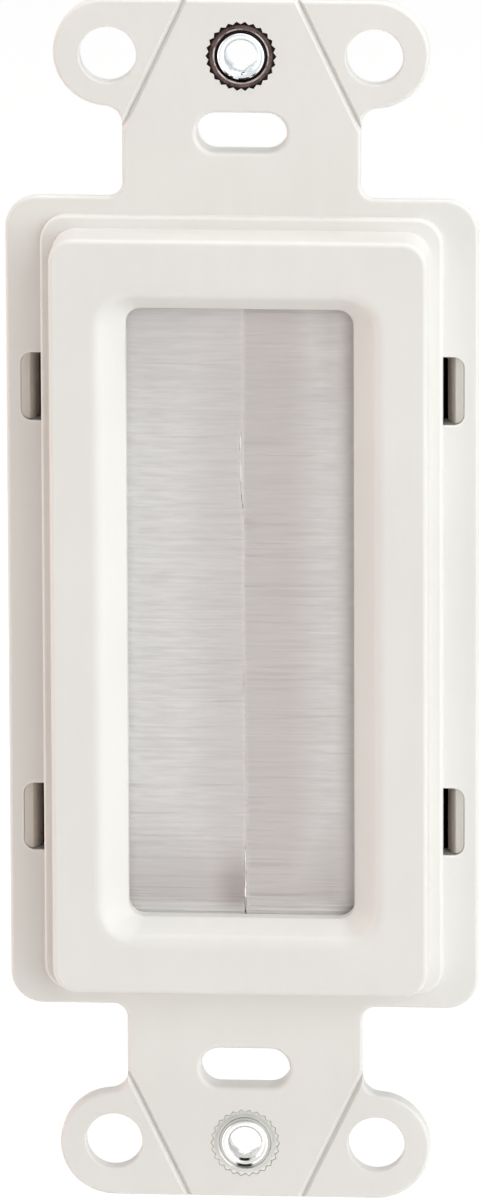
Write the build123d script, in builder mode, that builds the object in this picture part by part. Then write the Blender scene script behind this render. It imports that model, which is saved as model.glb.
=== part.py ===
from build123d import *
from math import pi, sin
import os

# Brush wall plate: a moulded mounting strap with a raised hollow body, and two strip brushes that meet
# behind its opening. Millimetres, +Z up, the front faces -Y, and the wall side of the strap lies on Y = 0.

# Mounting strap
strap_thickness = 2.6
neck_width = 20.5
neck_corner = 1.2
flange_width = 40.7
flange_height = 72.0
flange_corner = 2.8
edge_round = 0.35
back_bevel_depth = 1.9
back_bevel_inset = 0.55

# Break-off ears at the four corners, their holes in line with the inserts, each behind a score groove
ear_offset = 1.2
ear_radius = 4.7
ear_lead = 0.2
ear_hole_radius = 2.45
ear_hole_round = 0.15
ear_thickness = 1.6
ear_corner = 1.6
groove_width = 0.7
groove_depth = 0.45
groove_end_spacing = 9.8
groove_root_spacing = 84.2

# Horizontal slots for the screws of the wiring box
box_screw_spacing = 83.34
slot_width = 7.8
slot_height = 3.5
slot_round = 0.4

# Raised body in two steps, each set in from the edge of the one below
flange_step_side = 3.05
flange_step_end = 1.5
ledge_corner = 2.3
ledge_rise = 1.0
ledge_round = 0.3
ledge_step = 1.05
face_corner = 2.1
face_rise = 5.6
face_round = 0.45
side_wall = 1.2
front_wall = 1.2
hollow_corner = 1.5

# Bevelled opening, set in from the edge of the face by a flat frame and the bevel
frame_side = 4.2
frame_end = 4.8
opening_corner = 1.4
bevel_side = 2.25
bevel_end = 1.6
bevel_depth = 2.2
bevel_round = 1.5
lip_round = 0.25
lip_thickness = 1.2
rim_width = 1.2

# Windows in the flange, with a step that catches the snap hooks
window_spacing = 38.35
window_width = 1.8
window_height = 6.0
window_corner = 0.95
window_round = 0.15
catch_width = 0.3
catch_height = 1.2

# Threaded inserts for the screws of the cover plate
cover_screw_spacing = 96.84
knurl_root_radius = 2.8
knurl_tip_radius = 3.05
knurl_teeth = 26
knurl_height = 1.4
barrel_radius = 2.2
thread_bore_radius = 1.4
eyelet_radius = 2.05
eyelet_rise = 0.2
eyelet_groove_width = 0.15
eyelet_groove_depth = 0.5
eyelet_flare = 0.3

# Strip brushes
brush_height = 3.4
channel_overrun = 3.45
channel_cover = 0.55
channel_depth = 3.5
channel_thickness = 2.8
channel_mouth_gap = 1.4
channel_sheet = 0.5
channel_round = 0.8
wire_radius = 0.45
wire_inset = 1.1
bristle_inset = 0.2
bristle_fan = 1.8
fan_start = 1.6
tuft_pitch = 1.01
tuft_gap = 0.1
tip_taper = 0.9
tip_clearance = 0.06
tip_wave = 0.07
tip_wave_step = 2.4

# Rear retainer, set in from the edge of the flange, with a passage a little larger than the opening
base_step_side = 0.8
base_step_end = 2.3
base_corner = 2.4
base_thickness = 1.6
passage_margin = 0.25
passage_corner = 1.0
ring_clearance = 0.2
shelf_wall = 1.3
hook_gap = 0.3
hook_sink = 0.1
nose_step_width = 0.75
nose_step_depth = 0.45
nose_depth = 1.75

# Clearances, and how near counts as the same place
piece_clearance = 0.1
grip_clearance = 0.03
tolerance = 0.001

# Heights forward of the wall side
ledge_front = strap_thickness + ledge_rise
face_front = strap_thickness + face_rise
lip_front = face_front - bevel_depth
lip_back = lip_front - lip_thickness
ceiling = face_front - front_wall
shelf_front = brush_height - channel_thickness / 2

# Widths and heights that follow from the ones above
ear_spacing_x = neck_width + 2 * ear_offset
ear_spacing_z = cover_screw_spacing
ear_centre_spacing = ear_spacing_z + 2 * ear_lead
strap_length = ear_centre_spacing + 2 * ear_radius
ledge_width = flange_width - 2 * flange_step_side
ledge_height = flange_height - 2 * flange_step_end
ledge_side = ledge_width / 2
window_end = (window_spacing + window_height) / 2
face_width = ledge_width - 2 * ledge_step
face_height = ledge_height - 2 * ledge_step
hollow_width = face_width - 2 * side_wall
hollow_height = face_height - 2 * side_wall
bevel_width = face_width - 2 * frame_side
bevel_height = face_height - 2 * frame_end
opening_width = bevel_width - 2 * bevel_side
opening_height = bevel_height - 2 * bevel_end
rim_outer_width = opening_width + 2 * rim_width
rim_outer_height = opening_height + 2 * rim_width
passage_width = opening_width + 2 * passage_margin
passage_height = opening_height + 2 * passage_margin
base_width = flange_width - 2 * base_step_side
base_height = flange_height - 2 * base_step_end


def section(height):
    # a drawing plane that faces forward, this far from the wall side
    return Plane.XZ.offset(height)


def knurl_outline():
    # a circle with pointed teeth all round
    Circle(knurl_root_radius)
    tooth_half_width = pi * knurl_root_radius / knurl_teeth
    with PolarLocations(0, knurl_teeth):
        Polygon(
            (0, 0),
            (knurl_root_radius, -tooth_half_width),
            (knurl_tip_radius, 0),
            (knurl_root_radius, tooth_half_width),
            align=None,
        )


def window_outline(reach, clearance):
    # one opening beside the ledge, rounded at its outer corners, and its three mirror images
    with BuildSketch(Plane.XY) as window:
        with Locations((ledge_side, window_spacing / 2)):
            Rectangle(reach - clearance, window_height - 2 * clearance, align=(Align.MIN, Align.CENTER))
        fillet(window.vertices().group_by(Axis.X)[-1], window_corner - clearance)
        mirror(about=Plane.YZ)
        mirror(about=Plane.XZ)
    return window.sketch


window_pockets = window_outline(window_width, 0)
window_slots = window_outline(window_width - catch_width, 0)

# The strap, its ears and the raised body are one moulding
with BuildPart() as strap:
    with BuildSketch(section(0)) as outline:
        Rectangle(neck_width, strap_length)
        with GridLocations(0, ear_centre_spacing + ear_radius, 1, 2):
            Rectangle(ear_spacing_x, ear_radius)
        with GridLocations(ear_spacing_x, ear_centre_spacing, 2, 2):
            Circle(ear_radius)
        RectangleRounded(flange_width, flange_height, flange_corner)
        inner_corners = outline.vertices().filter_by(lambda v: abs(abs(v.X) - neck_width / 2) < tolerance)
        ear_corners = inner_corners.filter_by(lambda v: abs(v.Y) > flange_height / 2 + tolerance)
        fillet(ear_corners, ear_corner)
        inner_corners = outline.vertices().filter_by(lambda v: abs(abs(v.X) - neck_width / 2) < tolerance)
        flange_corners = inner_corners.filter_by(lambda v: abs(abs(v.Y) - flange_height / 2) < tolerance)
        fillet(flange_corners, neck_corner)
    extrude(amount=strap_thickness)
    # box screw slots and ear holes, all edges rounded at the front
    with BuildSketch(section(0)):
        with GridLocations(0, box_screw_spacing, 1, 2):
            SlotOverall(slot_width, slot_height)
        with GridLocations(ear_spacing_x, ear_spacing_z, 2, 2):
            Circle(ear_hole_radius)
    extrude(amount=strap_thickness, mode=Mode.SUBTRACT)
    strap_front = strap.faces().sort_by(Axis.Y)[0]
    hole_wires = ShapeList(strap_front.inner_wires())
    slot_edges = hole_wires.filter_by(lambda w: abs(w.center().X) < slot_width / 2).edges()
    ear_hole_edges = hole_wires.filter_by(lambda w: abs(w.center().X) > slot_width / 2).edges()
    fillet(strap_front.outer_wire().edges(), edge_round)
    fillet(slot_edges, slot_round)
    fillet(ear_hole_edges, ear_hole_round)
    strap_back = strap.faces().sort_by(Axis.Y)[-1]
    back_edges = strap_back.outer_wire().edges()
    chamfer(back_edges, back_bevel_inset, back_bevel_depth, reference=strap_back)

    # the ears are thinner than the rest, from behind, and have straight edges
    with BuildSketch(section(0)) as relief:
        Polygon(
            (groove_end_spacing / 2, strap_length / 2),
            (neck_width / 2, groove_root_spacing / 2),
            (flange_width / 2, groove_root_spacing / 2),
            (flange_width / 2, strap_length / 2),
            align=None,
        )
        mirror(about=Plane.YZ)
        mirror(about=Plane.XZ)
    extrude(amount=strap_thickness - ear_thickness, mode=Mode.SUBTRACT)
    with BuildSketch(section(strap_thickness - ear_thickness)):
        add(outline.sketch_local)
        add(relief.sketch_local, mode=Mode.INTERSECT)
        with GridLocations(ear_spacing_x, ear_spacing_z, 2, 2):
            Circle(ear_hole_radius, mode=Mode.SUBTRACT)
    extrude(amount=ear_thickness - edge_round)

    # score grooves along the break lines
    for side in (-1, 1):
        for end in (-1, 1):
            groove_end = Vector(side * groove_end_spacing / 2, -strap_thickness, end * strap_length / 2)
            groove_root = Vector(side * neck_width / 2, -strap_thickness, end * groove_root_spacing / 2)
            run = groove_root - groove_end
            overshoot = run.normalized() * groove_width
            with BuildSketch(Plane(groove_end - overshoot, x_dir=(0, 1, 0), z_dir=run)):
                Polygon((0, -groove_width / 2), (groove_depth, 0), (0, groove_width / 2), align=None)
            extrude(amount=run.length + 2 * groove_width, mode=Mode.SUBTRACT)

    # raised body: a low ledge, then the face
    with BuildSketch(section(strap_thickness)):
        RectangleRounded(ledge_width, ledge_height, ledge_corner)
    extrude(amount=ledge_rise)
    ledge_face = strap.faces().sort_by(Axis.Y)[0]
    fillet(ledge_face.outer_wire().edges(), ledge_round)
    with BuildSketch(section(ledge_front)):
        RectangleRounded(face_width, face_height, face_corner)
    extrude(amount=face_front - ledge_front)
    front_face = strap.faces().sort_by(Axis.Y)[0]
    fillet(front_face.outer_wire().edges(), face_round)

    # hollow behind the face, open to the wall side
    with BuildSketch(section(0)):
        RectangleRounded(hollow_width, hollow_height, hollow_corner)
    extrude(amount=ceiling, mode=Mode.SUBTRACT)

    # funnel behind the bevel, which ends in the rim that the brushes bear on
    rim_corner = opening_corner + rim_width
    with BuildSketch(section(lip_back)):
        RectangleRounded(rim_outer_width, rim_outer_height, rim_corner)
    with BuildSketch(section(ceiling)):
        funnel_width = bevel_width + 2 * rim_width
        funnel_height = bevel_height + 2 * rim_width
        RectangleRounded(funnel_width, funnel_height, rim_corner + bevel_end)
    loft(ruled=True)

    # opening, straight at the lip and bevelled out to the face
    with BuildSketch(section(lip_back)):
        RectangleRounded(opening_width, opening_height, opening_corner)
    extrude(amount=lip_thickness, mode=Mode.SUBTRACT)
    with BuildSketch(section(lip_front)):
        RectangleRounded(opening_width, opening_height, opening_corner)
    with BuildSketch(section(face_front)):
        RectangleRounded(bevel_width, bevel_height, opening_corner + bevel_end)
    loft(ruled=True, mode=Mode.SUBTRACT)
    front_face = strap.faces().sort_by(Axis.Y)[0]
    fillet(front_face.inner_wires()[0].edges(), bevel_round)
    fillet(strap.edges().filter_by(lambda e: abs(e.center().Y + lip_front) < tolerance), lip_round)

    # windows beside the ledge: a pocket from the front and a narrower slot behind its step
    with BuildSketch(section(catch_height)):
        add(window_pockets)
    extrude(amount=strap_thickness - catch_height, mode=Mode.SUBTRACT)
    rim_edges = strap.edges().filter_by(lambda e: abs(e.center().Y + strap_thickness) < tolerance)
    beside_ledge = rim_edges.filter_by(lambda e: tolerance < abs(e.center().X) - ledge_side < window_width)
    fillet(beside_ledge.filter_by(lambda e: abs(e.center().Z) < window_end + tolerance), window_round)
    with BuildSketch(section(0)):
        add(window_slots)
    extrude(amount=catch_height, mode=Mode.SUBTRACT)

    # seats of the two threaded inserts
    with BuildSketch(section(strap_thickness - knurl_height)):
        with GridLocations(0, cover_screw_spacing, 1, 2):
            knurl_outline()
    extrude(amount=knurl_height, mode=Mode.SUBTRACT)
    with BuildSketch(section(0)):
        with GridLocations(0, cover_screw_spacing, 1, 2):
            Circle(barrel_radius)
    extrude(amount=strap_thickness, mode=Mode.SUBTRACT)


# Threaded inserts, pressed in from the front
inserts = {}
for name, end in (("upper", 1), ("lower", -1)):
    insert_z = end * cover_screw_spacing / 2
    with BuildPart() as insert:
        with BuildSketch(section(strap_thickness - knurl_height)):
            with Locations((0, insert_z)):
                knurl_outline()
        extrude(amount=knurl_height)
        with BuildSketch(section(0)):
            with Locations((0, insert_z)):
                Circle(barrel_radius)
        extrude(amount=strap_thickness)
        # the groove round the eyelet, its raised rounded lip and the bore
        with BuildSketch(section(strap_thickness - eyelet_groove_depth)):
            with Locations((0, insert_z)):
                Circle(eyelet_radius + eyelet_groove_width)
                Circle(eyelet_radius, mode=Mode.SUBTRACT)
        extrude(amount=eyelet_groove_depth, mode=Mode.SUBTRACT)
        with BuildSketch(section(strap_thickness)):
            with Locations((0, insert_z)):
                Circle(eyelet_radius)
        extrude(amount=eyelet_rise)
        with BuildSketch(section(0)):
            with Locations((0, insert_z)):
                Circle(thread_bore_radius)
        extrude(amount=strap_thickness + eyelet_rise, mode=Mode.SUBTRACT)
        eyelet_face = insert.faces().sort_by(Axis.Y)[0]
        fillet(eyelet_face.outer_wire().edges(), eyelet_rise)
        eyelet_face = insert.faces().sort_by(Axis.Y)[0]
        fillet(eyelet_face.inner_wires()[0].edges(), eyelet_flare)
    insert.part.label = f"{name}_screw_insert"
    inserts[name] = insert.part


# Strip brushes: a folded channel, the core wire in it and the filaments folded over the wire
channel_mouth_x = opening_width / 2 + channel_cover
channel_web_x = channel_mouth_x + channel_depth
web_inner_x = channel_web_x - channel_sheet
channel_back_gap = channel_thickness - 2 * channel_sheet
wire_x = web_inner_x - wire_inset
wedge = (channel_back_gap - channel_mouth_gap) / (web_inner_x - channel_mouth_x)
fold_radius = (channel_mouth_gap + wedge * (wire_x - channel_mouth_x)) / 2 - grip_clearance
mouth_half = channel_mouth_gap / 2 - grip_clearance
root_end_x = wire_x + fold_radius
channel_length = opening_height + 2 * channel_overrun
bristle_row = channel_length - 2 * bristle_inset
tuft_count = round(bristle_row / tuft_pitch)
tuft_half = (tuft_pitch - tuft_gap) / 2
brush_pieces = []


def place(side, x, forward):
    # a point of a brush's cross-section: x from the centre seam, forward from the brush's middle plane
    return (side * x, -(brush_height + forward))


for name, side in (("left", -1), ("right", 1)):
    with BuildPart() as channel:
        with BuildSketch(Plane.XY) as channel_section:
            mouth_outer = channel_mouth_gap / 2 + channel_sheet
            Polygon(
                place(side, channel_mouth_x, -mouth_outer),
                place(side, channel_web_x, -channel_thickness / 2),
                place(side, channel_web_x, channel_thickness / 2),
                place(side, channel_mouth_x, mouth_outer),
                align=None,
            )
            fillet(channel_section.vertices().sort_by(lambda v: abs(v.X))[-2:], channel_round)
            Polygon(
                place(side, channel_mouth_x, -channel_mouth_gap / 2),
                place(side, web_inner_x, -channel_back_gap / 2),
                place(side, web_inner_x, channel_back_gap / 2),
                place(side, channel_mouth_x, channel_mouth_gap / 2),
                align=None,
                mode=Mode.SUBTRACT,
            )
        extrude(amount=channel_length / 2, both=True)
    channel.part.label = f"{name}_brush_channel"

    with BuildPart() as wire:
        with BuildSketch(Plane.XY):
            with Locations(place(side, wire_x, 0)):
                Circle(wire_radius)
        extrude(amount=channel_length / 2, both=True)
    wire.part.label = f"{name}_core_wire"

    with BuildPart() as bristles:
        with BuildSketch(Plane.XY):
            Polygon(
                place(side, wire_x, -fold_radius),
                place(side, channel_mouth_x, -mouth_half),
                place(side, channel_mouth_x - fan_start, -bristle_fan / 2),
                place(side, 0, -bristle_fan / 2),
                place(side, 0, bristle_fan / 2),
                place(side, channel_mouth_x - fan_start, bristle_fan / 2),
                place(side, channel_mouth_x, mouth_half),
                place(side, wire_x, fold_radius),
                align=None,
            )
            with Locations(place(side, wire_x, 0)):
                Circle(fold_radius)
                Circle(wire_radius + grip_clearance, mode=Mode.SUBTRACT)
        extrude(amount=bristle_row / 2, both=True)
        # tufts with slightly uneven tips, joined inside the channel
        with BuildSketch(section(0)):
            with Locations((side * (channel_mouth_x + root_end_x) / 2, 0)):
                Rectangle(root_end_x - channel_mouth_x, bristle_row)
            for tuft in range(tuft_count):
                tuft_z = (tuft - (tuft_count - 1) / 2) * tuft_pitch
                tip_x = tip_clearance + tip_wave * (1 + sin(tip_wave_step * tuft + side))
                Polygon(
                    (side * channel_mouth_x, tuft_z - tuft_half),
                    (side * channel_mouth_x, tuft_z + tuft_half),
                    (side * tip_x, tuft_z + tuft_half * tip_taper),
                    (side * tip_x, tuft_z - tuft_half * tip_taper),
                    align=None,
                )
        extrude(amount=face_front, mode=Mode.INTERSECT)
    bristles.part.label = f"{name}_bristles"
    brush_pieces += [channel.part, wire.part, bristles.part]


# Snap hooks, which fill the windows but for a gap beside the ledge. Each nose falls away towards the gap.
hook_inner_x = ledge_side + hook_gap
nose_outer_x = ledge_side + window_width
nose_front = strap_thickness - hook_sink
with BuildPart() as hooks:
    with BuildSketch(section(0)):
        add(window_outline(window_width - catch_width, piece_clearance))
    extrude(amount=catch_height)
    with BuildSketch(section(catch_height)):
        add(window_outline(window_width, grip_clearance))
    extrude(amount=nose_front - catch_height)
    with BuildSketch(Plane.XY):
        Polygon(
            (hook_inner_x, 0),
            (nose_outer_x, 0),
            (nose_outer_x, -nose_front),
            (nose_outer_x - nose_step_width, -nose_front + nose_step_depth),
            (hook_inner_x, -nose_front + nose_depth),
            align=None,
        )
        mirror(about=Plane.YZ)
    extrude(amount=flange_height / 2, both=True, mode=Mode.INTERSECT)


# Rear retainer: a base behind the flange, a hollow shelf under the brushes, a ring round them and snap hooks
with BuildPart() as rear_retainer:
    with BuildSketch(section(-base_thickness)):
        RectangleRounded(base_width, base_height, base_corner)
    extrude(amount=base_thickness)
    with BuildSketch(section(0)):
        ring_width = hollow_width - 2 * ring_clearance
        ring_height = hollow_height - 2 * ring_clearance
        RectangleRounded(ring_width, ring_height, hollow_corner - ring_clearance)
    extrude(amount=lip_back)
    with BuildSketch(section(shelf_front)):
        tray_width = 2 * (channel_web_x + piece_clearance)
        tray_height = channel_length + 2 * piece_clearance
        Rectangle(tray_width, tray_height)
    extrude(amount=lip_back - shelf_front, mode=Mode.SUBTRACT)
    with BuildSketch(section(-base_thickness)):
        RectangleRounded(passage_width, passage_height, passage_corner)
    extrude(amount=base_thickness + shelf_front, mode=Mode.SUBTRACT)

    # coring of the shelf from behind
    with BuildSketch(section(-base_thickness)):
        Rectangle(tray_width - 2 * piece_clearance, tray_height - 2 * shelf_wall)
        Rectangle(passage_width + 2 * shelf_wall, passage_height + 2 * shelf_wall, mode=Mode.SUBTRACT)
    extrude(amount=base_thickness + shelf_front - shelf_wall, mode=Mode.SUBTRACT)

    add(hooks.part)
rear_retainer.part.label = "rear_retainer"

strap.part.label = "strap"
os.makedirs("parts", exist_ok=True)
for piece in [strap.part, *inserts.values(), *brush_pieces, rear_retainer.part]:
    export_step(piece, f"parts/{piece.label}.step")
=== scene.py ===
import math
import bpy
import numpy as np
from mathutils import Matrix, Vector


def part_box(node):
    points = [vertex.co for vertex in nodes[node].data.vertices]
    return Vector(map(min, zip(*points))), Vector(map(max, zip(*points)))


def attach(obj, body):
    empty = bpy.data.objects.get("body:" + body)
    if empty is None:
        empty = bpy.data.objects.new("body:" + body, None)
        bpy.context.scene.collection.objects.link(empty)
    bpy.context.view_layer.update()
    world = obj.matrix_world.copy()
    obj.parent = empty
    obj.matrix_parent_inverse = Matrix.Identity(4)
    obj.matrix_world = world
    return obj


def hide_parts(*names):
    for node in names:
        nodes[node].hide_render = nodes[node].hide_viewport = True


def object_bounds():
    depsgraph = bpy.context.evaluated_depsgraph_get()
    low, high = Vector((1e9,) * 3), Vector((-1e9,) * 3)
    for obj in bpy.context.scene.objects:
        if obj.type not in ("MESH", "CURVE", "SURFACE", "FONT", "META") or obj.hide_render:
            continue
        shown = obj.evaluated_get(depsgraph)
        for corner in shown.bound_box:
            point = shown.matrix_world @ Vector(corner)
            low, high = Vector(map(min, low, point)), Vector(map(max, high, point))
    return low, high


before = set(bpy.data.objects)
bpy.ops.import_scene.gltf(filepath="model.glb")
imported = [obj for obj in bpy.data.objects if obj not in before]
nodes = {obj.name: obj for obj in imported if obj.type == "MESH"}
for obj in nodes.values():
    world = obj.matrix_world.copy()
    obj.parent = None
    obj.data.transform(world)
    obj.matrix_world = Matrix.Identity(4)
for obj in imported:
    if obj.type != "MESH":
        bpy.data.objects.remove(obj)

# Brush wall plate: a white moulded strap, two pressed-in inserts and two strip brushes behind its opening.
# The frame gives every place in metres. Sizes below are in millimetres unless a note says otherwise.

mm = 0.001
cadLow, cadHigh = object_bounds()
print("frame loaded,", len(nodes), "nodes")


# Camera

camera = {
    "distance": 1228.0,
    "azimuth": 3.93,         # degrees, as the next two
    "elevation": 14.39,
    "roll": -0.225,
    "aimRight": -0.172,
    "aimUp": 0.434,
    "aimForward": 2.6,       # how far the aim point stands in front of the wall side
    "focalPixels": 14225,    # for a frame 1200 pixels high
    "frameHeight": 1200,
    "sensor": 36,
    "near": 50,
    "far": 60000,
}


def placeCamera(c):
    turn, tilt, roll = (math.radians(c[k]) for k in ("azimuth", "elevation", "roll"))
    back = Vector((math.sin(turn) * math.cos(tilt), -math.cos(turn) * math.cos(tilt), math.sin(tilt)))
    right = Vector((math.cos(turn), math.sin(turn), 0))
    up = back.cross(right)
    aim = Vector((0, -c["aimForward"], 0)) + right * c["aimRight"] + up * c["aimUp"]
    rolledRight = right * math.cos(roll) + up * math.sin(roll)
    rolledUp = up * math.cos(roll) - right * math.sin(roll)
    bpy.ops.object.camera_add()
    cam = bpy.context.object
    axes = Matrix((rolledRight, rolledUp, back)).transposed().to_4x4()
    cam.matrix_world = Matrix.Translation((aim + back * c["distance"]) * mm) @ axes
    cam.data.sensor_width = c["sensor"]
    cam.data.lens = c["focalPixels"] * c["sensor"] / c["frameHeight"]
    cam.data.clip_start, cam.data.clip_end = c["near"] * mm, c["far"] * mm
    bpy.context.scene.camera = cam


placeCamera(camera)
bpy.context.scene.view_settings.view_transform = "Standard"
print("camera placed")


# Shader maths: a wrapped socket that can be added, multiplied and so on

class Field:
    def __init__(self, recipe, socket):
        self.recipe, self.socket = recipe, socket

    def work(self, operation, *values):
        return self.recipe.add("ShaderNodeMath", dict(enumerate(values)), {"operation": operation})

    def __add__(self, other): return self.work("ADD", self, other)
    def __radd__(self, other): return self.work("ADD", other, self)
    def __sub__(self, other): return self.work("SUBTRACT", self, other)
    def __rsub__(self, other): return self.work("SUBTRACT", other, self)
    def __mul__(self, other): return self.work("MULTIPLY", self, other)
    def __rmul__(self, other): return self.work("MULTIPLY", other, self)
    def __pow__(self, other): return self.work("POWER", self, other)
    def over(self, other): return self.work("MAXIMUM", self, other)
    def size(self): return self.work("ABSOLUTE", self)


class Recipe:
    def __init__(self, owner):
        # owner is a new material or the world
        self.owner = owner
        owner.use_nodes = True
        self.tree = owner.node_tree
        self.tree.nodes.clear()

    def add(self, kind, values=None, settings=None, output=0):
        node = self.tree.nodes.new(kind)
        for key, value in (settings or {}).items():
            setattr(node, key, value)
        for key, value in (values or {}).items():
            socket = node.inputs[key]
            if isinstance(value, Field):
                self.tree.links.new(value.socket, socket)
            else:
                socket.default_value = value
        return Field(self, node.outputs[output]) if node.outputs else None

    def place(self):
        return self.add("ShaderNodeTexCoord", output="Object")

    def axes(self, place):
        # x, y and z of a place, in millimetres
        node = self.tree.nodes.new("ShaderNodeSeparateXYZ")
        self.tree.links.new(place.socket, node.inputs[0])
        return [Field(self, out) * (1 / mm) for out in node.outputs]

    def noise(self, place, size, detail=3.0, rough=0.5):
        # size is the width of a patch
        return self.add("ShaderNodeTexNoise", {"Vector": place, "Scale": 1 / (size * mm),
                                               "Detail": detail, "Roughness": rough})

    def stretch(self, place, scale):
        return self.add("ShaderNodeMapping", {"Vector": place, "Scale": scale})

    def mix(self, factor, first, second):
        # two colours, by a value from 0 to 1
        wide = [v if isinstance(v, Field) else (*v, 1) for v in (first, second)]
        return self.add("ShaderNodeMix", {0: factor, 6: wide[0], 7: wide[1]},
                        {"data_type": "RGBA", "clamp_factor": True}, output=2)

    def rise(self, value, edge):
        # 0 before the edge, which is given by its start and its end, and 1 after it
        return self.add("ShaderNodeMapRange", {"Value": value, "From Min": edge[0], "From Max": edge[1]},
                        {"interpolation_type": "SMOOTHSTEP"})

    def fall(self, value, edge):
        return 1 - self.rise(value, edge)

    def band(self, value, edges):
        # 1 between two edges
        return self.rise(value, edges[0]) * self.fall(value, edges[1])

    def bump(self, height, depth, below=None):
        # depth is how far the height's 0 and 1 lie apart, and below a broader bump under this one
        values = {"Height": height, "Distance": depth * mm}
        if below:
            values["Normal"] = below
        return self.add("ShaderNodeBump", values)

    def finish(self, values):
        shader = self.add("ShaderNodeBsdfPrincipled", values)
        self.add("ShaderNodeOutputMaterial", {"Surface": shader})
        return self.owner


def wear(obj, material):
    # puts a material in every slot of a piece or a CAD node
    if not obj.data.materials:
        obj.data.materials.append(material)
    for i in range(len(obj.data.materials)):
        obj.data.materials[i] = material


# Plastics

strapLook = {
    "colour": (0.812, 0.809, 0.775),
    "shade": (0.790, 0.783, 0.748),     # in the faint clouds of the moulding
    "grain": 0.09,
    "grainDepth": 0.0025,
    "roughness": 0.38,
}
retainerLook = {
    "colour": (0.800, 0.770, 0.715),
    "shade": (0.770, 0.738, 0.680),
    "grain": 0.16,
    "grainDepth": 0.005,
    "roughness": 0.5,
}
moulding = {
    "clouds": 14,
    "flowLines": 1.6, "flowStretch": (1, 1, 0.16),      # along the strap
    "sinks": 9, "sinkDepth": 0.02,
    "toneEdge": (0.36, 0.64),
    "flowGloss": 0.10, "grainGloss": 0.12,              # how much the roughness changes with them
    "gapDullness": 0.6,
    "refraction": 1.49,
}

# The four side windows, given for the upper right one. An edge is the start and the end of a change: side is
# from the middle, forward from the wall side and outside from the window's outline.
window = {
    "ledge": 17.3,         # where the strap's ledge ends and the window begins
    "centre": 19.175,      # height of its middle
    "width": 1.8, "height": 6.0, "corner": 0.95,
    # painted highlight: the rounded rim of each window is painted lighter
    "rimHighlightColour": (0.90, 0.89, 0.87),
    "rimOutside": ((-0.06, 0.0), (0.10, 0.22)),
    "rimForward": ((2.3, 2.45), (2.65, 2.75)),
    "rimSide": (17.4, 17.5),
    # painted shade: the gap between the ledge and the nose of a snap hook is painted black, on the strap and
    # on the retainer
    "gapShadeColour": (0.006, 0.004, 0.004),
    "strapGapSide": (17.24, 17.28),
    "strapGapOutside": (-0.05, 0.05),
    "strapGapForward": (2.4, 2.5),
    "hookGapSide": ((17.2, 17.25), (17.6, 17.66)),
    "hookGapForward": (-0.15, -0.05),
    # painted shade on the nose: a brown tint beside the gap
    "nosePaintedShade": (0.93, 0.74, 0.64),
    "noseMiddleShade": (0.92, 0.83, 0.74),
    "noseSide": (17.2, 17.25),
    "noseForward": (0.1, 0.3),
    "middleSide": (17.65, 18.15),
    "plainSide": (18.0, 18.9),
}


def windowPlaces(r, place):
    x, y, z = r.axes(place)
    side, height = x.size(), (z.size() - window["centre"]).size()
    straight = window["width"] - window["corner"], window["height"] / 2 - window["corner"]
    cornerX = (side - window["ledge"] - straight[0]).over(0)
    cornerZ = (height - straight[1]).over(0)
    outside = (cornerX * cornerX + cornerZ * cornerZ) ** 0.5 - window["corner"]
    return side, y * -1, outside


def strapExtras(r, place, colour):
    # painted highlight: a light line round each window; painted shade: black down in the gap beside each nose
    side, forward, outside = windowPlaces(r, place)
    rim = r.band(outside, window["rimOutside"]) * r.band(forward, window["rimForward"])
    highlighted = r.mix(rim * r.rise(side, window["rimSide"]), colour, window["rimHighlightColour"])
    inGap = r.rise(side, window["strapGapSide"]) * r.fall(outside, window["strapGapOutside"])
    inGap = inGap * r.fall(forward, window["strapGapForward"])
    return r.mix(inGap, highlighted, window["gapShadeColour"]), inGap


def retainerExtras(r, place, colour):
    # painted shade: the noses grow brown towards the gap and black inside it
    side, forward, outside = windowPlaces(r, place)
    onNose = r.rise(forward, window["noseForward"]) * r.rise(side, window["noseSide"])
    slope = r.mix(r.rise(side, window["middleSide"]), window["nosePaintedShade"], window["noseMiddleShade"])
    slope = r.mix(r.rise(side, window["plainSide"]), slope, colour)
    inGap = r.band(side, window["hookGapSide"]) * r.rise(forward, window["hookGapForward"])
    return r.mix(inGap, r.mix(onNose, colour, slope), window["gapShadeColour"]), inGap


def mouldedPlastic(name, look, extras):
    r = Recipe(bpy.data.materials.new(name))
    place = r.place()
    clouds = r.noise(place, moulding["clouds"], 4)
    flow = r.noise(r.stretch(place, moulding["flowStretch"]), moulding["flowLines"], 4, 0.6)
    grain = r.noise(place, look["grain"], 3, 0.6)
    sinks = r.noise(place, moulding["sinks"], 1)
    tone = r.rise(clouds * 0.7 + flow * 0.3, moulding["toneEdge"])
    colour, inGap = extras(r, place, r.mix(tone, look["colour"], look["shade"]))
    uneven = moulding["flowGloss"] * (flow - 0.5) + moulding["grainGloss"] * (grain - 0.5)
    return r.finish({
        "Base Color": colour,
        "Roughness": look["roughness"] + uneven + moulding["gapDullness"] * inGap,
        "Metallic": inGap,      # painted shade: black metal in the gap mirrors nothing
        "Normal": r.bump(grain, look["grainDepth"], r.bump(sinks, moulding["sinkDepth"])),
        "IOR": moulding["refraction"],
    })


wear(nodes["strap"], mouldedPlastic("strap_plastic", strapLook, strapExtras))
wear(nodes["rear_retainer"], mouldedPlastic("retainer_plastic", retainerLook, retainerExtras))
print("plastics done")


# Metals of the strip brushes, mostly hidden behind the bezel

channelLook = {"colour": (0.74, 0.75, 0.76), "streaks": 0.12, "roughness": 0.34}
wireLook = {"colour": (0.62, 0.62, 0.62), "streaks": 0.08, "roughness": 0.3}
rolling = {
    "stretch": (1, 1, 0.02),      # along the length
    "depth": 0.004,
    "spots": 2.5,
    "toneEdge": (0.35, 0.65),
    "dull": 0.78,
    "spotGloss": 0.2,
}


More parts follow.
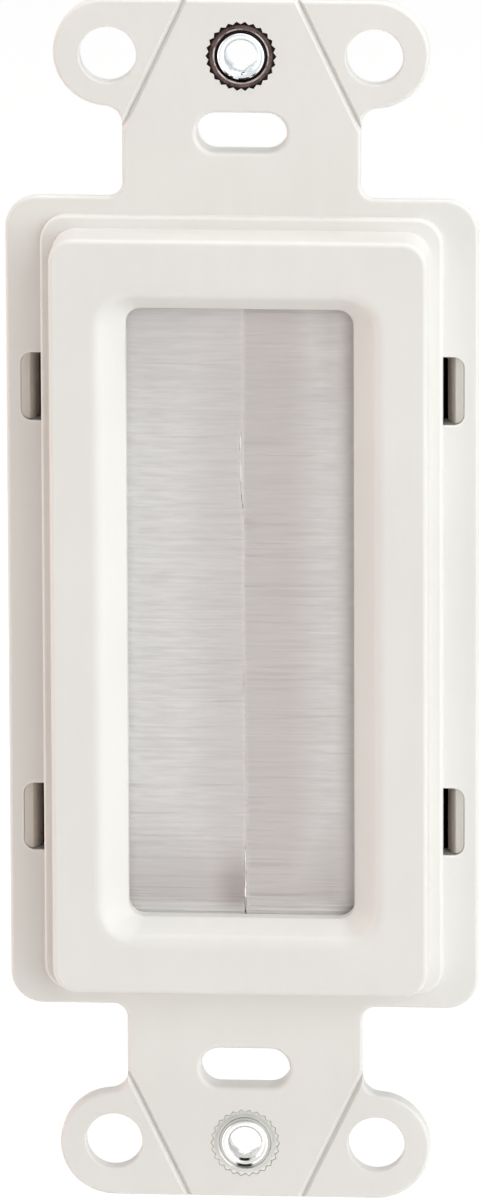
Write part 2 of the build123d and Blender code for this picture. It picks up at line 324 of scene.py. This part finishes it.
def rolledMetal(name, look):
    r = Recipe(bpy.data.materials.new(name))
    place = r.place()
    lines = r.noise(r.stretch(place, rolling["stretch"]), look["streaks"], 5, 0.65)
    spots = r.noise(place, rolling["spots"], 3)
    dull = tuple(rolling["dull"] * c for c in look["colour"])
    tone = r.rise(lines * 0.6 + spots * 0.4, rolling["toneEdge"])
    return r.finish({
        "Base Color": r.mix(tone, look["colour"], dull),
        "Roughness": look["roughness"] + rolling["spotGloss"] * (spots - 0.5),
        "Normal": r.bump(lines, rolling["depth"]),
        "Metallic": 1.0,
    })


channelMetal = rolledMetal("channel_metal", channelLook)
wireMetal = rolledMetal("wire_metal", wireLook)
for side in ("left", "right"):
    wear(nodes[f"{side}_brush_channel"], channelMetal)
    wear(nodes[f"{side}_core_wire"], wireMetal)


# Modelling helpers

def deselect():
    if bpy.context.object and bpy.context.object.mode != "OBJECT":
        bpy.ops.object.mode_set(mode="OBJECT")
    bpy.ops.object.select_all(action="DESELECT")


def pick(obj, test, kind):
    # selects the vertices or faces that pass the test, and leaves the piece in edit mode
    if obj.mode != "OBJECT":
        bpy.ops.object.mode_set(mode="OBJECT")
    bpy.ops.object.mode_set(mode="EDIT")
    bpy.ops.mesh.select_mode(type=kind)
    bpy.ops.mesh.select_all(action="DESELECT")
    bpy.ops.object.mode_set(mode="OBJECT")
    for part in obj.data.vertices if kind == "VERT" else obj.data.polygons:
        part.select = bool(test(part))
    bpy.ops.object.mode_set(mode="EDIT")


def readPlaces(obj):
    flat = np.empty(3 * len(obj.data.vertices))
    obj.data.vertices.foreach_get("co", flat)
    return flat.reshape(-1, 3)


def writePlaces(obj, places):
    obj.data.vertices.foreach_set("co", places.ravel())
    obj.data.update()


def giveValues(obj, name, values):
    layer = obj.data.attributes.new(name, "FLOAT", "POINT")
    layer.data.foreach_set("value", values.astype(np.float32))


def settle(obj, name, material, node):
    # the finished piece: named, with its place in its mesh, riding on the object and standing for its node
    deselect()
    obj.select_set(True)
    bpy.context.view_layer.objects.active = obj
    bpy.ops.object.transform_apply(location=True, rotation=True, scale=True)
    obj.name = obj.data.name = name
    wear(obj, material)
    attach(obj, "root")
    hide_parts(node)


# Threaded inserts, turned about their own axis. r is from the axis, y forward from the wall side.

insert = {
    "teeth": 26, "stepsPerTooth": 4,
    "tipRadius": 3.05, "rootRadius": 2.8,
    "knurlFrom": 2.7,           # what lies outside this radius grows teeth
    "bore": 1.4, "boreSlack": 0.01,
    "boreFront": 2.5, "boreBack": 0.18,
    "threadDepth": 0.22, "threadPitch": 0.79, "threadRings": 56,
    "threadFlat": 1.15, "threadSlope": 2.3,         # of the groove's section, over its pitch
    "runOutFront": 0.35, "runOutBack": 0.3,
    "weldWidth": 0.0005,
    "smoothAngle": 32,          # degrees
    "profile": [
        # r, y of the outside, from the back of the bore round to the mouth of the eyelet
        (1.62, 0.0), (2.12, 0.0), (2.2, 0.08), (2.2, 1.2), (2.74, 1.2), (2.8, 1.26), (2.8, 2.5), (2.72, 2.56),
        (2.55, 2.585), (2.42, 2.6), (2.36, 2.6), (2.3, 2.56), (2.24, 2.5), (2.22, "floor"), (2.05, "floor"),
        (2.05, 2.56), (2.035, 2.66), (1.99, 2.74), (1.92, 2.785), (1.85, 2.8), (1.76, 2.79), (1.66, 2.755),
        (1.56, 2.69), (1.48, 2.6),
    ],
    "lathe": 26.0,              # turning marks, by radius
    "patches": 0.9, "patchEdge": (0.35, 0.65), "highlightEdge": (0.32, 0.58),
    "specks": 0.12,
    "markDepth": 0.006,
    "latheGloss": 0.12, "patchGloss": 0.15, "eyeletGloss": 0.06,
    # where the colours change: edges by radius, unless the name says otherwise
    "teethEdge": (2.62, 2.78),
    # the rim carries a painted highlight, a lighter ring
    "rimEdges": ((2.26, 2.32), (2.38, 2.46)),
    "grooveEdges": ((2.03, 2.06), (2.22, 2.28)),
    "eyeletEdge": (2.035, 2.06),
    # painted shadow and dark reflection, at the bottom of the eyelet and of the bore
    "outerPaintedDark": ((1.82, 1.88), (2.16, 2.24)),
    "innerPaintedDark": (1.56, 1.62),
    "innerPaintedDarkSide": (0.3, 0.6),
    "innerPaintedDarkForward": (2.25, 2.4),
    "paintedDarkUnder": (-1.0, -0.9),     # height above the axis
    "paintedDarkSoftness": 0.35,
    "paintedDarkShift": 0.05,
    "paintedDarkBreaks": 0.5, "breakEdge": (0.5, 0.56),
    "paintedDarkColour": (0.02, 0.02, 0.02),
}


def turnInsert(centreZ, grooveFloor):
    # one vertex, extruded along the profile, closed and spun round the axis
    deselect()
    bpy.ops.mesh.primitive_plane_add(size=mm, location=(0, 0, 0))
    obj = bpy.context.object
    bpy.ops.object.mode_set(mode="EDIT")
    bpy.ops.mesh.select_all(action="SELECT")
    bpy.ops.mesh.merge(type="CENTER")
    rings, front, back = insert["threadRings"], insert["boreFront"], insert["boreBack"]
    boreWall = [(insert["bore"], front + (back - front) * k / rings) for k in range(rings + 1)]
    outside = [(r, grooveFloor if y == "floor" else y) for r, y in insert["profile"]]
    route = [(r * mm, -y * mm) for r, y in [*outside, *boreWall]]
    bpy.ops.transform.translate(value=(*route[0], 0))
    for (x0, y0), (x1, y1) in zip(route, route[1:]):
        bpy.ops.mesh.extrude_region_move(TRANSFORM_OT_translate={"value": (x1 - x0, y1 - y0, 0)})
    pick(obj, lambda v: v.index in (0, len(route) - 1), "VERT")
    bpy.ops.mesh.edge_face_add()
    bpy.ops.mesh.select_all(action="SELECT")
    steps = insert["teeth"] * insert["stepsPerTooth"]
    bpy.ops.mesh.spin(steps=steps, angle=2 * math.pi, center=(0, 0, 0), axis=(0, 1, 0))
    bpy.ops.mesh.select_all(action="SELECT")
    bpy.ops.mesh.remove_doubles(threshold=insert["weldWidth"] * mm)
    bpy.ops.mesh.normals_make_consistent(inside=False)
    bpy.ops.object.mode_set(mode="OBJECT")
    cutTeethAndThread(obj)
    obj.location.z = centreZ
    bpy.ops.object.shade_smooth_by_angle(angle=math.radians(insert["smoothAngle"]))
    return obj


def cutTeethAndThread(obj):
    place = readPlaces(obj)
    radius = np.hypot(place[:, 0], place[:, 2])
    turn = np.arctan2(place[:, 2], place[:, 0]) / (2 * math.pi)
    forward = -place[:, 1] / mm
    toothPhase = (turn * insert["teeth"]) % 1
    tooth = np.abs(2 * toothPhase - 1) * (insert["tipRadius"] - insert["rootRadius"]) * mm
    onKnurl = radius > insert["knurlFrom"] * mm
    wind = (forward / insert["threadPitch"] - turn) % 1
    runOut = np.clip((insert["boreFront"] - forward) / insert["runOutFront"], 0, 1)
    runOut *= np.clip((forward - insert["boreBack"]) / insert["runOutBack"], 0, 1)
    section = np.clip(insert["threadFlat"] - insert["threadSlope"] * np.abs(wind - 0.5), 0, 1)
    groove = section * insert["threadDepth"] * mm * runOut
    onBore = radius < (insert["bore"] + insert["boreSlack"]) * mm
    grown = radius + np.where(onKnurl, tooth, 0) + np.where(onBore, groove, 0)
    place[:, 0] *= grown / radius
    place[:, 2] *= grown / radius
    writePlaces(obj, place)


def insertMetal(name, centreZ, look):
    r = Recipe(bpy.data.materials.new(name))
    place = r.place()
    x, y, z = r.axes(place)
    across = z - centreZ / mm
    radius = (x * x + across * across) ** 0.5
    lathe = r.add("ShaderNodeTexNoise", {"W": radius, "Scale": insert["lathe"], "Detail": 2.0},
                  {"noise_dimensions": "1D"})
    patch = r.noise(place, insert["patches"], 4, 0.6)
    speck = r.noise(place, insert["specks"], 2)
    plate = r.mix(r.rise(patch, insert["patchEdge"]), look["plate"], look["plateShade"])
    teeth = r.mix(r.rise(radius, insert["teethEdge"]), plate, look["teeth"])
    # painted highlight: a patchy light ring on the rounded rim between the knurl and the groove
    highlight = r.band(radius, insert["rimEdges"]) * look["rimHighlightStrength"] * r.rise(patch, insert["highlightEdge"])
    rimmed = r.mix(highlight, teeth, look["rim"])
    grooved = r.mix(r.band(radius, insert["grooveEdges"]), rimmed, look["groove"])
    onEyelet = r.fall(radius, insert["eyeletEdge"])
    plain = r.mix(onEyelet, grooved, look["eyelet"])
    # painted shadow and dark reflection at the bottom of the eyelet and of the bore
    sideways = (x + insert["paintedDarkShift"]).size()
    outerSide = look["paintedDarkWidth"] - insert["paintedDarkSoftness"], look["paintedDarkWidth"]
    outerPaintedDarkMask = r.band(radius, insert["outerPaintedDark"]) * r.fall(sideways, outerSide)
    innerPaintedDarkMask = r.fall(radius, insert["innerPaintedDark"]) * r.fall(sideways, insert["innerPaintedDarkSide"])
    innerPaintedDarkMask = innerPaintedDarkMask * r.rise(y * -1, insert["innerPaintedDarkForward"])
    broken = r.rise(r.noise(place, insert["paintedDarkBreaks"], 2), insert["breakEdge"])
    broken = broken * look["brokenPaintedDark"] + (1 - look["brokenPaintedDark"])
    paintedDark = outerPaintedDarkMask.over(innerPaintedDarkMask) * r.fall(across, insert["paintedDarkUnder"]) * broken
    uneven = insert["latheGloss"] * (lathe - 0.5) + insert["patchGloss"] * (patch - 0.5)
    return r.finish({
        "Base Color": r.mix(paintedDark, plain, insert["paintedDarkColour"]),
        "Roughness": look["roughness"] + uneven - insert["eyeletGloss"] * onEyelet,
        "Normal": r.bump(lathe * 0.6 + speck * 0.4, insert["markDepth"]),
        "Metallic": 1.0,
    })


upperInsertLook = {
    "plate": (0.135, 0.092, 0.085), "plateShade": (0.050, 0.034, 0.031), "teeth": (0.014, 0.010, 0.009),
    "rim": (0.62, 0.56, 0.54), "rimHighlightStrength": 0.85,
    "groove": (0.015, 0.011, 0.010),
    "grooveFloor": 2.1,         # how far forward the bottom of the groove round the eyelet lies
    "eyelet": (0.74, 0.77, 0.79),
    "roughness": 0.3,
    "paintedDarkWidth": 1.5, "brokenPaintedDark": 1.0,
}
lowerInsertLook = {
    "plate": (0.50, 0.505, 0.475), "plateShade": (0.45, 0.455, 0.425), "teeth": (0.58, 0.575, 0.53),
    "rim": (0.60, 0.60, 0.57), "rimHighlightStrength": 0.5,
    "groove": (0.47, 0.47, 0.45),
    "grooveFloor": 2.53,
    "eyelet": (0.72, 0.72, 0.71),
    "roughness": 0.3,
    "paintedDarkWidth": 0.85, "brokenPaintedDark": 0.0,
}
for end, look in (("upper", upperInsertLook), ("lower", lowerInsertLook)):
    node = f"{end}_screw_insert"
    lowEnd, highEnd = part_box(node)
    centreZ = (lowEnd.z + highEnd.z) / 2
    metal = insertMetal(f"{end}_insert_metal", centreZ, look)
    piece = turnInsert(centreZ, look["grooveFloor"])
    settle(piece, f"{end}_threaded_insert", metal, node)
print("inserts turned")


# Strip brushes: filaments folded over the core wire, from the seam round the wire and back to the seam

brush = {
    "filaments": 1900,
    "strata": 4,                # the filaments lie in this many layers, each closed in itself
    "unevenness": 0.06,         # of a layer
    "sides": 3,
    "thickness": 0.21,
    "endGap": 0.02,             # above the highest filament and below the lowest
    "heightSpread": 0.012,
    "boxGap": 0.002,            # how far the row stays inside its own box, in front and behind
    # along a leg, from its tip to where it enters the channel
    "legPlaces": [0.0, 0.012, 0.035, 0.3, 0.57, 0.84],
    "foldTurns": [-80, 0, 80],                    # degrees round the wire
    "innerFold": 0.57, "outerFold": 0.70,         # from the wire's axis to a filament's, by layer
    "innerMouth": 0.10, "outerMouth": 0.55,       # from the brush's middle plane, by layer
    "innerFan": 0.09, "outerFan": 0.80,           # the same, from fanStart out of the channel on
    "fanStart": 1.6,
    "clumpSway": 0.12, "fineSwayPart": 0.2, "swayFade": 1.4,
    "ripple": 0.035, "rippleLength": 4.2,
    "bulge": 0.05,
    "seamSway": 0.03,
    "strayTip": 0.06,
    "turned": 9, "twist": 18,   # degrees, of a filament about itself
    "toneSpread": 0.35, "toneClumps": 0.15,
    # slow changes up the row: how many random values there are, and how far apart they stand
    "swayWave": (40, 2.6), "fineSwayWave": (160, 0.6), "bulgeWave": (30, 3.4), "phaseWave": (50, 1.7),
    "seamWave": (90, 0.7), "toneWave": (120, 0.6),
    "smoothAngle": 40,          # degrees
    "lean": 0.069,              # how far the slit between the rows leans sideways on its way back
    "seed": 7,
    # up the seam: height, sideways place and the width of the slit. Below 0 the two rows run into each other.
    "seam": [
        (-27.5, 0.18, 0.09), (-23.5, 0.18, 0.08), (-20.5, 0.15, -0.02), (-17.5, 0.40, -0.10),
        (-14.0, 0.24, -0.10), (-9.0, 0.14, -0.04), (-7.0, 0.16, -0.10), (0.0, 0.10, -0.10),
        (7.5, 0.16, -0.10), (9.5, 0.02, 0.05), (11.5, -0.10, 0.07), (15.0, -0.11, 0.07),
        (16.5, 0.12, -0.08), (22.0, 0.15, -0.06), (26.5, 0.15, -0.10),
    ],
}


def smoothNoise(rng, where, count, width):
    # a smooth random value for each place, from evenly spaced ones width apart
    knots = rng.uniform(-1, 1, count)
    at = where / width
    low = np.floor(at).astype(int)
    part = at - low
    part = part * part * (3 - 2 * part)
    return knots[low % count] * (1 - part) + knots[(low + 1) % count] * part


def between(first, last, part):
    return first + (last - first) * part


def oneFilament(length):
    # a straight filament along X. Each leg has one section more than its places, where it enters the channel.
    sections = 2 * (len(brush["legPlaces"]) + 1) + len(brush["foldTurns"])
    step = length / (sections - 1)
    deselect()
    bpy.ops.mesh.primitive_cylinder_add(vertices=brush["sides"], radius=brush["thickness"] * mm / 2,
                                        depth=step, location=(step / 2, 0, 0), rotation=(0, math.pi / 2, 0))
    obj = bpy.context.object
    bpy.ops.object.transform_apply(location=True, rotation=True, scale=True)
    pick(obj, lambda f: f.normal.x > 0.9, "FACE")
    for _ in range(sections - 2):
        bpy.ops.mesh.extrude_region_move(TRANSFORM_OT_translate={"value": (step, 0, 0)})
    bpy.ops.object.mode_set(mode="OBJECT")
    return obj, sections, step


def repeatUp(obj, count, step):
    row = obj.modifiers.new("row", "ARRAY")
    row.count = count
    row.use_relative_offset, row.use_constant_offset = False, True
    row.constant_offset_displace = (0, 0, step)
    bpy.ops.object.modifier_apply(modifier=row.name)


def combRow(side, name):
    low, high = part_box(f"{name}_bristles")
    wireLow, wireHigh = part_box(f"{name}_core_wire")
    channelLow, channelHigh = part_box(f"{name}_brush_channel")
    middle = (low.y + high.y) / 2 / mm
    wireX = abs(wireLow.x + wireHigh.x) / 2 / mm
    mouthX = min(abs(channelLow.x), abs(channelHigh.x)) / mm
    bottom, top = low.z / mm, high.z / mm
    obj, sections, step = oneFilament(2 * wireX * mm)
    proto = readPlaces(obj)
    section = np.rint(proto[:, 0] / step).astype(int)
    corner = np.arctan2(proto[:, 2], proto[:, 1])
    count = brush["filaments"]
    repeatUp(obj, count, (top - bottom) * mm / count)

    rng = np.random.default_rng(brush["seed"] + side)
    margin = brush["thickness"] / 2 + brush["endGap"]
    height = np.linspace(bottom + margin, top - margin, count)
    height += rng.uniform(-brush["heightSpread"], brush["heightSpread"], count)
    height = np.clip(height, bottom + margin, top - margin)
    layer = np.arange(count) % brush["strata"] + brush["unevenness"] * rng.uniform(0, 1, count)
    layer /= brush["strata"] - 1 + brush["unevenness"]
    up = height - bottom
    sway = smoothNoise(rng, up, *brush["swayWave"]) * brush["clumpSway"]
    sway += smoothNoise(rng, up, *brush["fineSwayWave"]) * brush["clumpSway"] * brush["fineSwayPart"]
    bulge = smoothNoise(rng, up, *brush["bulgeWave"]) * brush["bulge"]
    phase = smoothNoise(rng, up, *brush["phaseWave"]) * math.pi
    seamHeights, seamPlaces, slits = (np.array(column) for column in zip(*brush["seam"]))
    seamX = np.interp(height, seamHeights, seamPlaces)
    seamX += smoothNoise(rng, up, *brush["seamWave"]) * brush["seamSway"]
    slit = np.interp(height, seamHeights, slits)

    def legPoints(forward):
        # forward is -1 for the leg in front and 1 for the one behind
        fan = between(brush["innerFan"], brush["outerFan"], layer)
        mouth = between(brush["innerMouth"], brush["outerMouth"], layer)
        tip = side * (seamX - brush["lean"] * forward * fan) + slit / 2
        tip += rng.uniform(0, 1, count) ** 3 * brush["strayTip"]
        points = []
        for part in brush["legPlaces"]:
            x = between(tip, mouthX, part)
            away = between(mouth, fan, np.clip((mouthX - x) / brush["fanStart"], 0, 1))
            lift = bulge * (1 - part) * forward
            wave = brush["ripple"] * np.sin(2 * math.pi * x / brush["rippleLength"] + phase) * (1 - part)
            swung = sway * (1 - part) ** brush["swayFade"]
            points.append((x, middle + forward * away + lift, height + swung + wave))
        points.append((np.full(count, mouthX), middle + forward * mouth, height))
        return points

    fold = between(brush["innerFold"], brush["outerFold"], layer)
    bend = []
    for turn in brush["foldTurns"]:
        a = math.radians(turn)
        bend.append((wireX + fold * math.cos(a), middle + fold * math.sin(a), height))
    path = [*legPoints(-1), *bend, *reversed(legPoints(1))]
    centre = np.array(path).transpose(2, 0, 1)       # filament, then section, then axis
    along = np.gradient(centre, axis=1)
    along /= np.linalg.norm(along, axis=2, keepdims=True)
    across = np.cross(along, (0, 0, 1))
    across /= np.linalg.norm(across, axis=2, keepdims=True)
    upward = np.cross(across, along)
    # each filament is a little turned about itself, and not the same all along, which gives the short streaks
    twist = rng.uniform(-1, 1, (count, 1)) * brush["turned"]
    twist = twist + rng.uniform(-1, 1, (count, sections)) * brush["twist"]
    turned = corner + np.radians(twist)[:, section]
    c, s = np.cos(turned)[:, :, None], np.sin(turned)[:, :, None]
    shape = centre[:, section] + brush["thickness"] / 2 * (s * upward[:, section] - c * across[:, section])
    shape[:, :, 0] *= side
    shape[:, :, 1] = np.clip(shape[:, :, 1], low.y / mm + brush["boxGap"], high.y / mm - brush["boxGap"])
    writePlaces(obj, shape.reshape(-1, 3) * mm)

    clump = smoothNoise(rng, up, *brush["toneWave"])
    tone = 0.5 + brush["toneSpread"] * rng.uniform(-1, 1, count) + brush["toneClumps"] * clump
    tipness = 2 - np.minimum(section, sections - 1 - section)
    giveValues(obj, "tone", np.repeat(tone, len(section)))
    giveValues(obj, "tip", np.tile(np.clip(tipness, 0, 1), count))
    pick(obj, lambda v: True, "VERT")
    bpy.ops.mesh.normals_make_consistent(inside=False)
    bpy.ops.object.mode_set(mode="OBJECT")
    bpy.ops.object.shade_smooth_by_angle(angle=math.radians(brush["smoothAngle"]))
    return obj


filamentLook = {
    "light": (0.870, 0.857, 0.845),
    "dark": (0.730, 0.716, 0.705),
    # painted highlight: the tips are lighter, as where their cut ends catch the light
    "tip": (0.90, 0.885, 0.875), "tipHighlightPart": 0.2,
    "mottle": 0.35, "mottleStretch": (0.12, 1, 1),
    "mottleEdge": (0.34, 0.66),
    "clearness": 0.08,          # how much of the light comes through from behind
    "through": (0.95, 0.94, 0.93),
    "roughness": 0.42, "mottleGloss": 0.15,
    "refraction": 1.53,
    # painted shade in zones: darker beside the seam, low down and at the top; the edges are sideways places,
    # or heights where the name says Z, and a part is how strong it is
    "shade": (0.625, 0.592, 0.582),
    "shadeLeftOfSeam": ((-7, -1), (0.1, 0.3)), "leftPart": 0.6,
    "shadeRightOfSeam": ((0.1, 0.3), (3.5, 8.5)), "rightPart": 0.95,
    "bottomZ": ((-27.4, -25.4), (-27, -15)),
    "topZ": (14, 28), "topPart": 0.55,
    "corner": (0.40, 0.345, 0.335),     # painted shade left of the seam, low down
    "shadeInCorner": ((-3.2, -0.4), (0.22, 0.3)), "cornerZ": (-26, -19.5), "cornerPart": 0.85,
    "wall": (0.930, 0.915, 0.900),      # painted light beside the bezel, right and below, against its shadow
    "lightNearWall": (7.4, 9.5), "wallZ": (-27.3, -25.6), "wallPart": 0.7,
}


def nylon(name, look):
    r = Recipe(bpy.data.materials.new(name))
    tone = r.add("ShaderNodeAttribute", {}, {"attribute_name": "tone"}, output="Fac")
    tip = r.add("ShaderNodeAttribute", {}, {"attribute_name": "tip"}, output="Fac")
    place = r.place()
    x, y, z = r.axes(place)
    mottle = r.noise(r.stretch(place, look["mottleStretch"]), look["mottle"], 3)
    streaks = r.rise(mottle, look["mottleEdge"])
    body = r.mix(tone * 0.5 + streaks * 0.5, look["dark"], look["light"])
    # painted shade beside the seam, at the bottom and at the top
    shadeLeftOfSeam = r.band(x, look["shadeLeftOfSeam"]) * look["leftPart"]
    shadeRightOfSeam = r.band(x, look["shadeRightOfSeam"]) * look["rightPart"]
    shadeAtTop = r.rise(z, look["topZ"]) * look["topPart"]
    shaded = shadeLeftOfSeam.over(shadeRightOfSeam).over(r.band(z, look["bottomZ"])).over(shadeAtTop)
    body = r.mix(shaded, body, look["shade"])
    # painted highlight on the filament tips
    body = r.mix(tip * look["tipHighlightPart"], body, look["tip"])
    # painted shade in the corner left of the seam, low down
    shadeInCorner = r.band(x, look["shadeInCorner"]) * r.fall(z, look["cornerZ"])
    body = r.mix(shadeInCorner * look["cornerPart"], body, look["corner"])
    # painted light beside the bezel, against its shadow
    lightNearWall = r.rise(x, look["lightNearWall"]).over(r.fall(z, look["wallZ"]))
    body = r.mix(lightNearWall * look["wallPart"], body, look["wall"])
    roughness = look["roughness"] + look["mottleGloss"] * (mottle - 0.5)
    surface = r.add("ShaderNodeBsdfPrincipled", {"Base Color": body, "Roughness": roughness,
                                                 "IOR": look["refraction"]})
    through = r.add("ShaderNodeBsdfTranslucent", {"Color": (*look["through"], 1)})
    both = r.add("ShaderNodeMixShader", {0: look["clearness"], 1: surface, 2: through})
    r.add("ShaderNodeOutputMaterial", {"Surface": both})
    return r.owner


filament = nylon("filament", filamentLook)
for side, name in ((-1, "left"), (1, "right")):
    settle(combRow(side, name), f"{name}_filaments", filament, f"{name}_bristles")
    print(name, "row combed")


# Studio: a pale floor well below the plate, as it hangs on a wall, and soft lamps. Lengths in metres.

studio = {
    "floorDrop": 0.30,          # below the plate
    "floorSize": 30, "floorCells": 8,
    "floorColour": (0.82, 0.82, 0.815), "floorShade": 0.985,
    "floorGrain": 60,           # millimetres
    "floorRoughness": 0.9,
    "floorGlow": 0.79,
    "worldLevel": 0.18,
    "lampDistance": 0.9,
    "lampSize": 0.9,
    "lamps": [
        # name, direction from the plate, level, colour
        ("front right", (0.6, -0.75, 0.3), 0.47, (1, 1, 1)),
        ("overhead", (0.1, 0.02, 1.0), 0.63, (1, 1, 1)),
        ("right edge", (0.97, -0.15, 0.2), 0.15, (1, 1, 1)),
        ("low right", (0.85, -0.45, -0.3), 0.20, (1, 1, 1)),
        ("left edge", (-0.97, -0.15, 0.1), 0.52, (1.0, 0.815, 0.75)),
    ],
}


def seenDirectly(r):
    # 1 for rays from the camera, and for what metal and clear plastic show
    views = [r.add("ShaderNodeLightPath", output=ray)
             for ray in ("Is Camera Ray", "Is Glossy Ray", "Is Transmission Ray")]
    return r.add("ShaderNodeMath", {0: views[0] + views[1], 1: views[2]},
                 {"operation": "ADD", "use_clamp": True})


def makeFloor():
    deselect()
    bpy.ops.mesh.primitive_grid_add(x_subdivisions=studio["floorCells"], y_subdivisions=studio["floorCells"],
                                    size=studio["floorSize"], location=(0, 0, cadLow.z - studio["floorDrop"]))
    floor = bpy.context.object
    bpy.ops.object.transform_apply(location=True, rotation=True, scale=True)
    floor.name = "floor"
    r = Recipe(bpy.data.materials.new("floor"))
    darker = tuple(studio["floorShade"] * c for c in studio["floorColour"])
    wear(floor, r.finish({
        "Base Color": r.mix(r.noise(r.place(), studio["floorGrain"]), studio["floorColour"], darker),
        "Emission Color": r.mix(seenDirectly(r), (0, 0, 0), (1, 1, 1)),
        "Emission Strength": studio["floorGlow"],
        "Roughness": studio["floorRoughness"],
        "Specular IOR Level": 0.0,
    }))


def makeWorld():
    world = bpy.data.worlds.new("studio")
    bpy.context.scene.world = world
    r = Recipe(world)
    lit, white = (r.add("ShaderNodeBackground", {"Color": (1, 1, 1, 1), "Strength": level})
                  for level in (studio["worldLevel"], 1.0))
    both = r.add("ShaderNodeMixShader", {0: seenDirectly(r), 1: lit, 2: white})
    r.add("ShaderNodeOutputWorld", {"Surface": both})


def hangLamp(name, direction, level, colour):
    # level is what the lamp adds to a white surface that faces it
    towards = Vector(direction).normalized()
    distance, size = studio["lampDistance"], studio["lampSize"]
    deselect()
    bpy.ops.object.light_add(type="AREA", location=towards * distance)
    lamp = bpy.context.object
    lamp.name = name
    lamp.data.shape = "DISK"
    lamp.data.size = size
    lamp.data.color = colour
    lamp.data.energy = level * math.pi ** 2 * (distance ** 2 + (size / 2) ** 2)
    lamp.rotation_euler = towards.to_track_quat("Z", "Y").to_euler()


makeFloor()
makeWorld()
for lamp in studio["lamps"]:
    hangLamp(*lamp)
print("studio lit")
